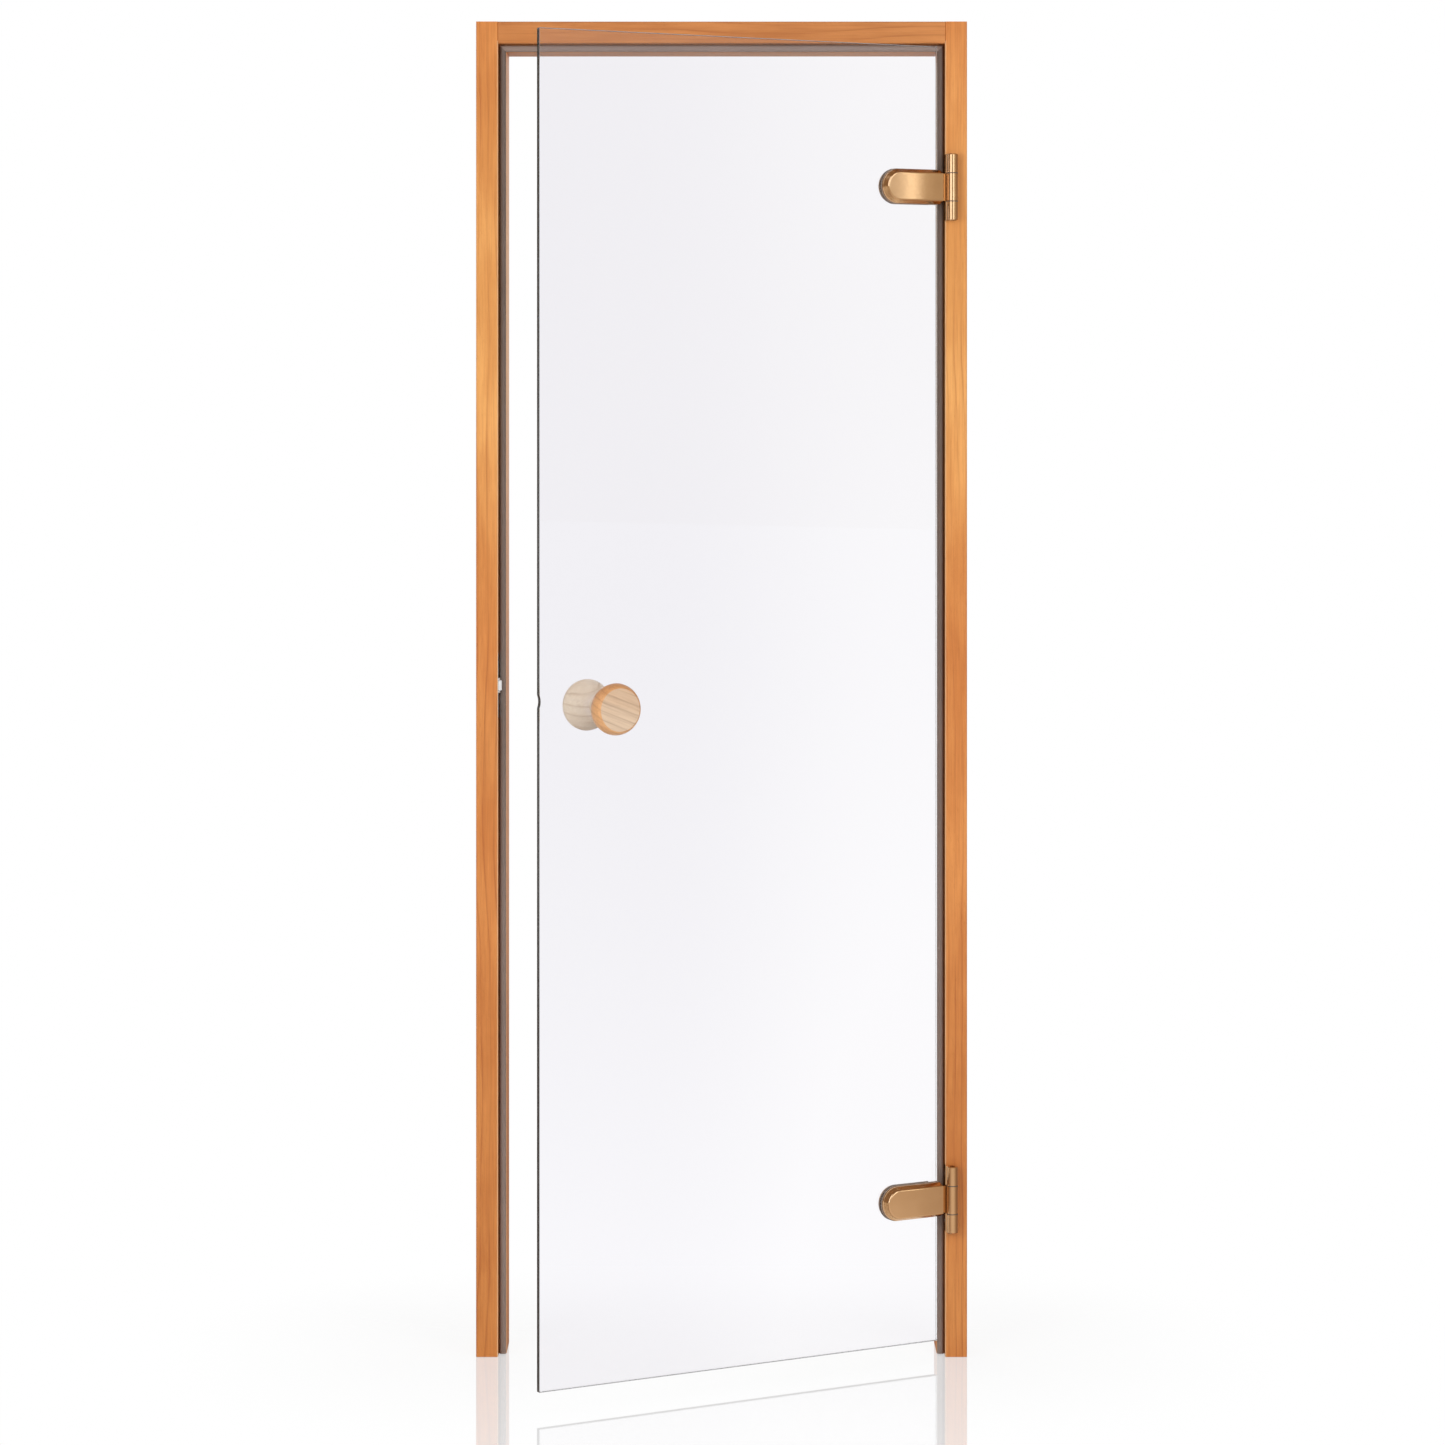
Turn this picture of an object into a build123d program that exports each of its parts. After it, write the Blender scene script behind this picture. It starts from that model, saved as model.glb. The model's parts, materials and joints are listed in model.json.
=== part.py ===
from build123d import *
import os

# Sauna door: a clear glass leaf hung ajar in a rebated timber frame without a threshold.
# Millimetres. X runs to the hinge side, Y away from the viewer, Z up from the floor.
# The origin is at floor level on the wall side of the hinge jamb, half way through its depth.

# Frame
FRAME_WIDTH = 695.0
FRAME_HEIGHT = 1890.0
FRAME_DEPTH = 92.0
FACE_WIDTH = 31.0
STOP_PROJECTION = 11.0
REBATE_DEPTH = 22.0
EDGE_RADIUS = 2.0

# Glass leaf
GLASS_THICKNESS = 8.0
GLASS_INSET = 5.5
SIDE_GAP = 5.5
TOP_GAP = 5.0
FLOOR_GAP = 24.0
ARRIS = 0.6
OPEN_ANGLE = 28.0

# Seal
SEAL_WIDTH = 9.2
SEAL_EDGE_SETBACK = 0.5
SEAL_RUNNING_GAP = 0.3
SEAL_WALL = 1.2
SEAL_NOSE_RADIUS = 3.4
SEAL_FOOT_CLEARANCE = 1.0
KERF_WIDTH = 3.0
KERF_DEPTH = 7.0
ROOT_STEM_WIDTH = 1.8
ROOT_CLEARANCE = 0.1
ROOT_BARB_RISE = 1.6
ROOT_LENGTH = 6.0

# Hinges
UPPER_HINGE_DROP = 235.0
LOWER_HINGE_HEIGHT = 225.0
HINGE_LENGTH = 94.0
AXIS_INSET = 21.5
AXIS_STANDOFF = 11.0
KNUCKLE_RADIUS = 8.0
END_KNUCKLE_LENGTH = 26.5
KNUCKLE_END_CHAMFER = 1.0
WASHER_THICKNESS = 1.0
WASHER_GAP = 0.1
PIN_RADIUS = 4.0
PIN_RUNNING_FIT = 0.05
PIN_RECESS = 2.0
PIN_SOCKET_ACROSS = 3.0
PIN_SOCKET_DEPTH = 2.5
LEAF_THICKNESS = 3.0
LEAF_DEPTH = 20.0
LEAF_WEB = 5.0
LEAF_SEAT_CLEARANCE = 0.1
LEAF_CORNER_RADIUS = 3.0
LEAF_SCREW_SPACING = 33.0

# Screws, 4 mm countersunk for the timber and 6 mm countersunk for the hinges' clamps
WOOD_SCREW_RADIUS = 2.0
WOOD_SCREW_HEAD_RADIUS = 4.0
WOOD_SCREW_LENGTH = 24.0
CLAMP_SCREW_RADIUS = 3.0
CLAMP_HEAD_RADIUS = 5.6
CLAMP_SCREW_SPACING = 38.0
CLAMP_THREAD_ENGAGEMENT = 4.0
SCREW_CLEARANCE = 0.1
SCREW_END_CLEARANCE = 1.0

# Hinge arm, clamped to the glass under a bevelled cover
COVER_REACH = 106.0
COVER_START = 12.6
COVER_HEIGHT = 48.0
COVER_THICKNESS = 11.5
COVER_SKIN = 1.0
COVER_WALL = 1.6
COVER_BEVEL = 4.5
COVER_BEVEL_DEPTH = 7.2
COVER_EDGE_RADIUS = 3.0
COVER_FIT = 0.2
ARM_PLATE_THICKNESS = 5.0
ARM_NECK_THICKNESS = 3.0
ARM_END_CLEARANCE = 4.5
ARM_NECK_SLOPE_START = 11.5
PAD_THICKNESS = 1.0
PAD_OVERHANG = 1.0
BACK_PLATE_THICKNESS = 6.0
BACK_PLATE_START = 27.0
BACK_PLATE_BEVEL = 3.0
GLASS_HOLE_RADIUS = 8.0
COLLAR_CLEARANCE = 0.3

# Knobs, a mirrored pair of turned wood on one bolt through the glass
KNOB_HEIGHT = 939.5
KNOB_SETBACK = 94.0
KNOB_LENGTH = 54.0
KNOB_RADIUS = 35.0
KNOB_FACE_RADIUS = 31.5
KNOB_FACE_EDGE = 2.5
KNOB_WIDEST = 40.0
KNOB_NECK_RADIUS = 12.5
KNOB_FOOT_RADIUS = 14.5
KNOB_NECK_AT = 9.0
KNOB_SHOULDER_RADIUS = 28.5
KNOB_SHOULDER_AT = 23.0
KNOB_BOLT_RADIUS = 4.0
KNOB_BOLT_GRIP = 26.0
KNOB_HOLE_RADIUS = 6.0
KNOB_WASHER_RADIUS = 13.0
KNOB_WASHER_THICKNESS = 1.0

# Roller latch in the latch jamb
LATCH_HEIGHT = 950.0
LATCH_PLATE_LENGTH = 94.0
LATCH_PLATE_WIDTH = 16.0
LATCH_PLATE_THICKNESS = 2.5
LATCH_PLATE_SCREW_SPACING = 76.0
LATCH_CASE_HEIGHT = 25.0
LATCH_CASE_WIDTH = 14.0
LATCH_CASE_DEPTH = 21.0
LATCH_CASE_WALL = 1.8
LATCH_POCKET_CLEARANCE = 0.2
ROLLER_RADIUS = 4.6
ROLLER_HEIGHT = 14.6
ROLLER_PROJECTION = 5.0
ROLLER_PIN_RADIUS = 1.5
ROLLER_END_CLEARANCE = 0.2
ROLLER_CHAMFER = 0.8
SLIDER_LENGTH = 14.0
SLIDER_CLEARANCE = 0.3
SLIDER_NOSE_WALL = 1.0
SLIDER_CORNER_RADIUS = 3.5
NOTCH_HEIGHT = 19.0
NOTCH_DEPTH = 2.0

# Levels and lines that follow from the sizes above
FRONT_Y = -FRAME_DEPTH / 2
BACK_Y = FRAME_DEPTH / 2
STOP_Y = FRONT_Y + REBATE_DEPTH
MEMBER_WIDTH = FACE_WIDTH + STOP_PROJECTION
LATCH_WALL_X = -FRAME_WIDTH
LATCH_REBATE_X = LATCH_WALL_X + FACE_WIDTH
HINGE_REBATE_X = -FACE_WIDTH
AXIS_X = -AXIS_INSET
AXIS_Y = FRONT_Y - AXIS_STANDOFF
GLASS_WIDTH = FRAME_WIDTH - 2 * (FACE_WIDTH + SIDE_GAP)
GLASS_TOP = FRAME_HEIGHT - FACE_WIDTH - TOP_GAP
GLASS_HINGE_X = HINGE_REBATE_X - SIDE_GAP
GLASS_FREE_X = GLASS_HINGE_X - GLASS_WIDTH
GLASS_FRONT_Y = FRONT_Y + GLASS_INSET
GLASS_BACK_Y = GLASS_FRONT_Y + GLASS_THICKNESS
SEAL_HEIGHT = STOP_Y - GLASS_BACK_Y - SEAL_RUNNING_GAP
SEAL_CENTRE = MEMBER_WIDTH - SEAL_EDGE_SETBACK - SEAL_WIDTH / 2
MIDDLE_KNUCKLE_LENGTH = HINGE_LENGTH - 2 * (END_KNUCKLE_LENGTH + WASHER_THICKNESS + 2 * WASHER_GAP)
MIDDLE_CLEARANCE = MIDDLE_KNUCKLE_LENGTH / 2 + 2 * WASHER_GAP + WASHER_THICKNESS
BORE_RADIUS = PIN_RADIUS + PIN_RUNNING_FIT
LEAF_CENTRE_Y = FRONT_Y + LEAF_DEPTH / 2
PAD_FRONT_Y = GLASS_FRONT_Y - PAD_THICKNESS
COVER_FRONT_Y = PAD_FRONT_Y - COVER_THICKNESS
ARM_PLATE_Y = PAD_FRONT_Y - ARM_PLATE_THICKNESS
NECK_FRONT_Y = COVER_FRONT_Y + COVER_SKIN + COVER_FIT
NECK_BACK_Y = NECK_FRONT_Y + ARM_NECK_THICKNESS
PAD_BACK_Y = GLASS_BACK_Y + PAD_THICKNESS
COVER_ROUND_X = AXIS_X - COVER_REACH + COVER_HEIGHT / 2
CLAMP_XS = (COVER_ROUND_X, COVER_ROUND_X + CLAMP_SCREW_SPACING)
KNOB_X = GLASS_FREE_X + KNOB_SETBACK
KNOB_SEAT_FRONT_Y = GLASS_FRONT_Y - KNOB_WASHER_THICKNESS
KNOB_SEAT_BACK_Y = GLASS_BACK_Y + KNOB_WASHER_THICKNESS
LATCH_Y = GLASS_FRONT_Y + GLASS_THICKNESS / 2
ROLLER_X = LATCH_REBATE_X + ROLLER_PROJECTION - ROLLER_RADIUS
HINGE_HEIGHTS = {"upper": FRAME_HEIGHT - UPPER_HINGE_DROP, "lower": LOWER_HINGE_HEIGHT}
HINGE_AXIS = Axis((AXIS_X, AXIS_Y, 0), (0, 0, 1))


def block(x0, x1, y0, y1, z0, z1):
    """A box between two limits on each axis."""
    centre = Pos((x0 + x1) / 2, (y0 + y1) / 2, (z0 + z1) / 2)
    return centre * Box(abs(x1 - x0), abs(y1 - y0), abs(z1 - z0))


def plan_prism(points, z0, z1):
    """An upright prism over an outline given in plan."""
    outline = make_face(Polyline(*points, close=True))
    return Pos(0, 0, z0) * extrude(outline, amount=z1 - z0, dir=(0, 0, 1))


def rod(radius, start, direction, length):
    """A round bar from a start point along a direction."""
    section = Plane(origin=start, z_dir=direction) * Circle(radius)
    return extrude(section, amount=length, dir=direction)


def countersink(radius, head_radius, start, direction):
    """The 90-degree cone of a countersunk head, its wide end at the start point."""
    wide = Plane(origin=start, z_dir=direction)
    return wide * Pos(0, 0, (head_radius - radius) / 2) * Cone(head_radius, radius, head_radius - radius)


def wood_screw(start, direction):
    """Countersunk wood screw with a plain shank, its head flush at the start point."""
    shank = rod(WOOD_SCREW_RADIUS, start, direction, WOOD_SCREW_LENGTH)
    return shank + countersink(WOOD_SCREW_RADIUS, WOOD_SCREW_HEAD_RADIUS, start, direction)


def eased(face, corners, radius):
    """Rounds the named corners of a flat outline."""
    picked = [min(face.vertices(), key=lambda v: (Vector(v) - Vector(*c)).length) for c in corners]
    return fillet(picked, radius)


def swung(shape):
    """Turns a piece that was drawn on the closed door to where the door stands ajar."""
    return shape.rotate(HINGE_AXIS, OPEN_ANGLE)


def write(name, shape):
    """Saves one named piece."""
    shape.label = name
    export_step(shape, f"parts/{name}.step")


def member_section():
    """Rebated section of every frame member: X in from the wall side, Y from front to back."""
    corners = [
        (0, FRONT_Y),
        (FACE_WIDTH, FRONT_Y),
        (FACE_WIDTH, STOP_Y),
        (MEMBER_WIDTH, STOP_Y),
        (MEMBER_WIDTH, BACK_Y),
        (0, BACK_Y),
    ]
    outline = make_face(Polyline(*corners, close=True))
    eased_corners = [c for c in corners if c != (FACE_WIDTH, STOP_Y)]
    outline = eased(outline, eased_corners, EDGE_RADIUS)
    kerf = Pos(SEAL_CENTRE, STOP_Y + KERF_DEPTH / 2) * Rectangle(KERF_WIDTH, KERF_DEPTH)
    return outline - kerf


def head_kerf():
    """The seal's groove in the head, run on over both jambs' stops to their own grooves."""
    end = SEAL_CENTRE - KERF_WIDTH / 2
    middle = FRAME_HEIGHT - SEAL_CENTRE
    bottom, top = middle - KERF_WIDTH / 2, middle + KERF_WIDTH / 2
    return block(-FRAME_WIDTH + end, -end, STOP_Y, STOP_Y + KERF_DEPTH, bottom, top)


def leaf_seats():
    """Mortises and pilot holes that the two hinge leaves need in the hinge jamb."""
    seats = []
    pilot_depth = WOOD_SCREW_LENGTH + SCREW_END_CLEARANCE
    for height in HINGE_HEIGHTS.values():
        reach = HINGE_LENGTH / 2 + LEAF_SEAT_CLEARANCE
        seats.append(
            block(
                HINGE_REBATE_X,
                HINGE_REBATE_X + LEAF_THICKNESS,
                FRONT_Y,
                FRONT_Y + LEAF_DEPTH + LEAF_SEAT_CLEARANCE,
                height - reach,
                height + reach,
            )
        )
        for z in leaf_screw_heights(height):
            start = (HINGE_REBATE_X, LEAF_CENTRE_Y, z)
            seats.append(rod(WOOD_SCREW_RADIUS + SCREW_CLEARANCE, start, (1, 0, 0), pilot_depth))
    return seats


def hinge_jamb():
    """Right upright, full height."""
    upright = extrude(mirror(member_section(), about=Plane.YZ), amount=FRAME_HEIGHT, dir=(0, 0, 1))
    return upright - leaf_seats() - head_kerf()


def latch_jamb():
    """Left upright, full height, with the recess and pocket of the roller latch."""
    upright = Pos(LATCH_WALL_X, 0, 0) * extrude(member_section(), amount=FRAME_HEIGHT, dir=(0, 0, 1))
    recess = latch_plate_blank(LATCH_POCKET_CLEARANCE)
    case = latch_case_blank(LATCH_POCKET_CLEARANCE)
    return upright - recess - case - latch_screw_holes() - head_kerf()


def head_rail():
    """Head member, butted between the jambs at its face and coped round their stops."""
    length = FRAME_WIDTH - 2 * FACE_WIDTH
    turned = Pos(LATCH_REBATE_X, 0, FRAME_HEIGHT) * Rot(0, 90, 0)
    rail = turned * extrude(member_section(), amount=length, dir=(0, 0, 1))
    cope = block(-MEMBER_WIDTH, 0, STOP_Y, BACK_Y, 0, FRAME_HEIGHT)
    return rail - cope - Pos(MEMBER_WIDTH - FRAME_WIDTH, 0, 0) * cope


def seal_section():
    """Bulb on the stop with a barbed root in the kerf, on the axes of the frame's section."""
    half = SEAL_WIDTH / 2
    tip_y = STOP_Y - SEAL_HEIGHT
    bulb = make_face(
        Polyline(
            (SEAL_CENTRE - half, STOP_Y),
            (SEAL_CENTRE - half, tip_y),
            (SEAL_CENTRE + half, tip_y),
            (SEAL_CENTRE + half, STOP_Y),
            close=True,
        )
    )
    bulb = eased(bulb, [(SEAL_CENTRE - half, tip_y), (SEAL_CENTRE + half, tip_y)], SEAL_NOSE_RADIUS)
    hollow_height = SEAL_HEIGHT - 2 * SEAL_WALL
    hollow = Pos(SEAL_CENTRE, STOP_Y - SEAL_HEIGHT / 2) * RectangleRounded(
        SEAL_WIDTH - 2 * SEAL_WALL, hollow_height, SEAL_NOSE_RADIUS - SEAL_WALL
    )
    stem = ROOT_STEM_WIDTH / 2
    barb = KERF_WIDTH / 2 - ROOT_CLEARANCE
    barb_y = STOP_Y + ROOT_LENGTH - ROOT_BARB_RISE
    root = make_face(
        Polyline(
            (SEAL_CENTRE - stem, STOP_Y - SEAL_WALL / 2),
            (SEAL_CENTRE - stem, barb_y),
            (SEAL_CENTRE - barb, barb_y),
            (SEAL_CENTRE, STOP_Y + ROOT_LENGTH),
            (SEAL_CENTRE + barb, barb_y),
            (SEAL_CENTRE + stem, barb_y),
            (SEAL_CENTRE + stem, STOP_Y - SEAL_WALL / 2),
            close=True,
        )
    )
    return bulb - hollow + root


def corner_wedge():
    """All that lies above the two mitre lines where the head seal meets the jamb seals."""
    half = FRAME_WIDTH / 2
    corners = [(0, FRAME_HEIGHT), (-FRAME_WIDTH, FRAME_HEIGHT), (-half, FRAME_HEIGHT - half)]
    triangle = Plane.XZ * make_face(Polyline(*corners, close=True))
    return extrude(triangle, amount=FRAME_DEPTH, both=True)


def jamb_seal(hinge_side):
    """Upright seal of one jamb, mitred at its head."""
    length = FRAME_HEIGHT - SEAL_FOOT_CLEARANCE
    foot = Pos(LATCH_WALL_X, 0, SEAL_FOOT_CLEARANCE)
    upright = foot * extrude(seal_section(), amount=length, dir=(0, 0, 1))
    if hinge_side:
        upright = mirror(upright, about=Plane(origin=(LATCH_WALL_X / 2, 0, 0), z_dir=(1, 0, 0)))
    return upright - corner_wedge()


def head_seal():
    """Level seal under the head, mitred at both ends."""
    turned = Pos(LATCH_WALL_X, 0, FRAME_HEIGHT) * Rot(0, 90, 0)
    level = turned * extrude(seal_section(), amount=FRAME_WIDTH, dir=(0, 0, 1))
    return level & corner_wedge()


def leaf_screw_heights(height):
    """Heights of a hinge leaf's screws."""
    return [height + step * LEAF_SCREW_SPACING for step in (-1, 0, 1)]


def hinge_leaf(height):
    """Leaf let into the rebate's side, with a web to the two end knuckles."""
    half = HINGE_LENGTH / 2
    seat_x = HINGE_REBATE_X + LEAF_THICKNESS
    web_y = AXIS_Y + KNUCKLE_RADIUS - LEAF_WEB
    section = [
        (AXIS_X, web_y),
        (HINGE_REBATE_X, web_y),
        (HINGE_REBATE_X, FRONT_Y + LEAF_DEPTH),
        (seat_x, FRONT_Y + LEAF_DEPTH),
        (seat_x, AXIS_Y + KNUCKLE_RADIUS),
        (AXIS_X, AXIS_Y + KNUCKLE_RADIUS),
    ]
    leaf = plan_prism(section, height - half, height + half)
    rounding = leaf.edges().filter_by(Axis.X).filter_by(lambda e: e.center().Y > FRONT_Y)
    leaf = fillet(rounding, LEAF_CORNER_RADIUS)
    cylinder = Pos(AXIS_X, AXIS_Y, height) * Cylinder(KNUCKLE_RADIUS, HINGE_LENGTH)
    leaf += chamfer(cylinder.edges().filter_by(GeomType.CIRCLE), KNUCKLE_END_CHAMFER)
    leaf -= block(
        HINGE_REBATE_X,
        AXIS_X + KNUCKLE_RADIUS,
        AXIS_Y - KNUCKLE_RADIUS,
        FRONT_Y,
        height - MIDDLE_CLEARANCE,
        height + MIDDLE_CLEARANCE,
    )
    leaf -= Pos(AXIS_X, AXIS_Y, height) * Cylinder(BORE_RADIUS, HINGE_LENGTH)
    for z in leaf_screw_heights(height):
        start = (HINGE_REBATE_X, LEAF_CENTRE_Y, z)
        leaf -= rod(WOOD_SCREW_RADIUS + SCREW_CLEARANCE, start, (1, 0, 0), LEAF_THICKNESS)
        leaf -= countersink(WOOD_SCREW_RADIUS, WOOD_SCREW_HEAD_RADIUS + SCREW_CLEARANCE, start, (1, 0, 0))
    return leaf


def leaf_screws(height):
    """Countersunk wood screws of one hinge leaf."""
    starts = [(HINGE_REBATE_X, LEAF_CENTRE_Y, z) for z in leaf_screw_heights(height)]
    return Compound(children=[wood_screw(start, (1, 0, 0)) for start in starts])


def hinge_pin(height):
    """Pin through all three knuckles, sunk at both ends, with a hexagon socket on top."""
    length = HINGE_LENGTH - 2 * PIN_RECESS
    pin = Pos(AXIS_X, AXIS_Y, height) * Cylinder(PIN_RADIUS, length)
    pin = chamfer(pin.edges().filter_by(GeomType.CIRCLE), KNUCKLE_END_CHAMFER / 2)
    top = Pos(AXIS_X, AXIS_Y, height + length / 2 - PIN_SOCKET_DEPTH)
    hexagon = RegularPolygon(PIN_SOCKET_ACROSS / 2, 6, major_radius=False)
    return pin - top * extrude(hexagon, amount=PIN_SOCKET_DEPTH)


def knuckle_washers(height):
    """Dark bearing washers above and below the middle knuckle."""
    step = MIDDLE_KNUCKLE_LENGTH / 2 + WASHER_GAP + WASHER_THICKNESS / 2
    ring = Cylinder(KNUCKLE_RADIUS, WASHER_THICKNESS) - Cylinder(BORE_RADIUS, WASHER_THICKNESS)
    return Compound(children=[Pos(AXIS_X, AXIS_Y, height + side * step) * ring for side in (-1, 1)])


def strap_outline(start_x, reach_x, height):
    """Flat outline with one square and one half-round end, drawn in X and Z."""
    radius = height / 2
    square = Pos((start_x + reach_x + radius) / 2, 0) * Rectangle(start_x - reach_x - radius, height)
    return Plane.XZ * (square + Pos(reach_x + radius, 0) * Circle(radius))


def strap(start_x, reach_x, height, front_y, thickness):
    """A strap of that outline from its front level back through its thickness."""
    outline = Pos(0, front_y, 0) * strap_outline(start_x, reach_x, height)
    return extrude(outline, amount=thickness, dir=(0, 1, 0))


def hinge_arm(height):
    """Clamp plate against the outer pad, cranked forward to the middle knuckle."""
    half = MIDDLE_KNUCKLE_LENGTH / 2
    end_x = HINGE_REBATE_X - ARM_END_CLEARANCE
    slope_x = AXIS_X - ARM_NECK_SLOPE_START
    rise = slope_x - end_x
    crank = [
        (AXIS_X, NECK_FRONT_Y),
        (end_x - ARM_NECK_THICKNESS, NECK_FRONT_Y),
        (end_x - ARM_NECK_THICKNESS - (ARM_PLATE_Y - NECK_FRONT_Y), ARM_PLATE_Y),
        (end_x - ARM_NECK_THICKNESS - (ARM_PLATE_Y - NECK_FRONT_Y), PAD_FRONT_Y),
        (end_x, PAD_FRONT_Y),
        (end_x, NECK_BACK_Y + rise),
        (slope_x, NECK_BACK_Y),
        (AXIS_X, NECK_BACK_Y),
    ]
    neck = plan_prism(crank, -half, half)
    plate_height = COVER_HEIGHT - 2 * COVER_BEVEL
    tip_x = AXIS_X - COVER_REACH + COVER_BEVEL
    plate = strap(end_x, tip_x, plate_height, ARM_PLATE_Y, ARM_PLATE_THICKNESS)
    knuckle = Pos(AXIS_X, AXIS_Y, 0) * Cylinder(KNUCKLE_RADIUS, MIDDLE_KNUCKLE_LENGTH)
    arm = neck + plate + knuckle - Pos(AXIS_X, AXIS_Y, 0) * Cylinder(BORE_RADIUS, MIDDLE_KNUCKLE_LENGTH)
    for x in CLAMP_XS:
        start = (x, PAD_FRONT_Y, 0)
        arm -= rod(CLAMP_SCREW_RADIUS + SCREW_CLEARANCE, start, (0, -1, 0), ARM_PLATE_THICKNESS)
    return swung(Pos(0, 0, height) * arm)


def hinge_cover(height):
    """Pressed cap over the arm: flat face, broad bevel, half-round end, open at the neck."""
    start_x = AXIS_X - COVER_START
    reach_x = AXIS_X - COVER_REACH
    cap = strap(start_x, reach_x, COVER_HEIGHT, COVER_FRONT_Y, COVER_THICKNESS)
    rim = cap.faces().sort_by(Axis.Y)[0].edges().filter_by(lambda e: e.center().X < start_x - COVER_FIT)
    cap = chamfer(rim, COVER_BEVEL, COVER_BEVEL_DEPTH, reference=cap.faces().sort_by(Axis.Y)[0])
    ridge = cap.faces().sort_by(Axis.Y)[0].edges().filter_by(lambda e: e.center().X < start_x - COVER_FIT)
    cap = fillet(ridge, COVER_EDGE_RADIUS)
    inner_height = COVER_HEIGHT - 2 * COVER_WALL
    hollow_y = COVER_FRONT_Y + COVER_SKIN
    hollow_depth = COVER_THICKNESS - COVER_SKIN
    hollow = strap(start_x, reach_x + COVER_WALL, inner_height, hollow_y, hollow_depth)
    inner_rim = hollow.faces().sort_by(Axis.Y)[0]
    inner_edges = inner_rim.edges().filter_by(lambda e: e.center().X < start_x - COVER_FIT)
    hollow = chamfer(inner_edges, COVER_BEVEL - COVER_WALL, COVER_BEVEL_DEPTH, reference=inner_rim)
    end_x = HINGE_REBATE_X - ARM_END_CLEARANCE
    slant = [
        (start_x, COVER_FRONT_Y),
        (start_x, PAD_FRONT_Y),
        (end_x, PAD_FRONT_Y),
        (end_x, FRONT_Y),
    ]
    relief = plan_prism(slant, -COVER_HEIGHT, COVER_HEIGHT)
    return swung(Pos(0, 0, height) * (cap - hollow - relief))


def outer_pad(height):
    """Rubber pad between the arm and the glass, just proud of the cover all round."""
    start_x = HINGE_REBATE_X - ARM_END_CLEARANCE - PAD_OVERHANG
    reach_x = AXIS_X - COVER_REACH - PAD_OVERHANG
    pad = strap(start_x, reach_x, COVER_HEIGHT + 2 * PAD_OVERHANG, PAD_FRONT_Y, PAD_THICKNESS)
    for x in CLAMP_XS:
        pad -= rod(CLAMP_SCREW_RADIUS + SCREW_CLEARANCE, (x, PAD_FRONT_Y, 0), (0, 1, 0), PAD_THICKNESS)
    return swung(Pos(0, 0, height) * pad)


def inner_pad(height):
    """Rubber pad behind the glass, with a collar in each of the glass's holes."""
    start_x = AXIS_X - BACK_PLATE_START
    reach_x = AXIS_X - COVER_REACH - PAD_OVERHANG
    pad = strap(start_x, reach_x, COVER_HEIGHT + 2 * PAD_OVERHANG, GLASS_BACK_Y, PAD_THICKNESS)
    for x in CLAMP_XS:
        centre = (x, PAD_BACK_Y, 0)
        through = GLASS_THICKNESS + PAD_THICKNESS
        pad += rod(GLASS_HOLE_RADIUS - COLLAR_CLEARANCE, centre, (0, -1, 0), through)
    for x in CLAMP_XS:
        centre = (x, PAD_BACK_Y, 0)
        pad -= rod(CLAMP_SCREW_RADIUS + SCREW_CLEARANCE, centre, (0, -1, 0), through)
    return swung(Pos(0, 0, height) * pad)


def hinge_back_plate(height):
    """Bevelled clamp plate on the room side, countersunk for the two screws."""
    start_x = AXIS_X - BACK_PLATE_START
    reach_x = AXIS_X - COVER_REACH
    plate = strap(start_x, reach_x, COVER_HEIGHT, PAD_BACK_Y, BACK_PLATE_THICKNESS)
    plate = chamfer(plate.faces().sort_by(Axis.Y)[-1].edges(), BACK_PLATE_BEVEL)
    face_y = PAD_BACK_Y + BACK_PLATE_THICKNESS
    for x in CLAMP_XS:
        start = (x, face_y, 0)
        plate -= rod(CLAMP_SCREW_RADIUS + SCREW_CLEARANCE, start, (0, -1, 0), BACK_PLATE_THICKNESS)
        plate -= countersink(CLAMP_SCREW_RADIUS, CLAMP_HEAD_RADIUS + SCREW_CLEARANCE, start, (0, -1, 0))
    return swung(Pos(0, 0, height) * plate)


def clamp_screws(height):
    """Two countersunk machine screws that clamp the hinge through the glass."""
    face_y = PAD_BACK_Y + BACK_PLATE_THICKNESS
    length = face_y - PAD_FRONT_Y + CLAMP_THREAD_ENGAGEMENT
    screws = []
    for x in CLAMP_XS:
        start = (x, face_y, 0)
        screw = rod(CLAMP_SCREW_RADIUS, start, (0, -1, 0), length)
        screw += countersink(CLAMP_SCREW_RADIUS, CLAMP_HEAD_RADIUS, start, (0, -1, 0))
        screws.append(swung(Pos(0, 0, height) * screw))
    return Compound(children=screws)


def glass_pane():
    """Toughened pane with ground edges, drilled for hinges and knob, notched for the roller."""
    pane = block(GLASS_FREE_X, GLASS_HINGE_X, GLASS_FRONT_Y, GLASS_BACK_Y, FLOOR_GAP, GLASS_TOP)
    pane = chamfer(pane.edges(), ARRIS)
    for height in HINGE_HEIGHTS.values():
        for x in CLAMP_XS:
            pane -= rod(GLASS_HOLE_RADIUS, (x, GLASS_FRONT_Y, height), (0, 1, 0), GLASS_THICKNESS)
    pane -= rod(KNOB_HOLE_RADIUS, (KNOB_X, GLASS_FRONT_Y, KNOB_HEIGHT), (0, 1, 0), GLASS_THICKNESS)
    chord = NOTCH_HEIGHT / 2
    notch_radius = (chord**2 + NOTCH_DEPTH**2) / (2 * NOTCH_DEPTH)
    notch_x = GLASS_FREE_X + NOTCH_DEPTH - notch_radius
    pane -= rod(notch_radius, (notch_x, GLASS_FRONT_Y, LATCH_HEIGHT), (0, 1, 0), GLASS_THICKNESS)
    return swung(pane)


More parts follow.
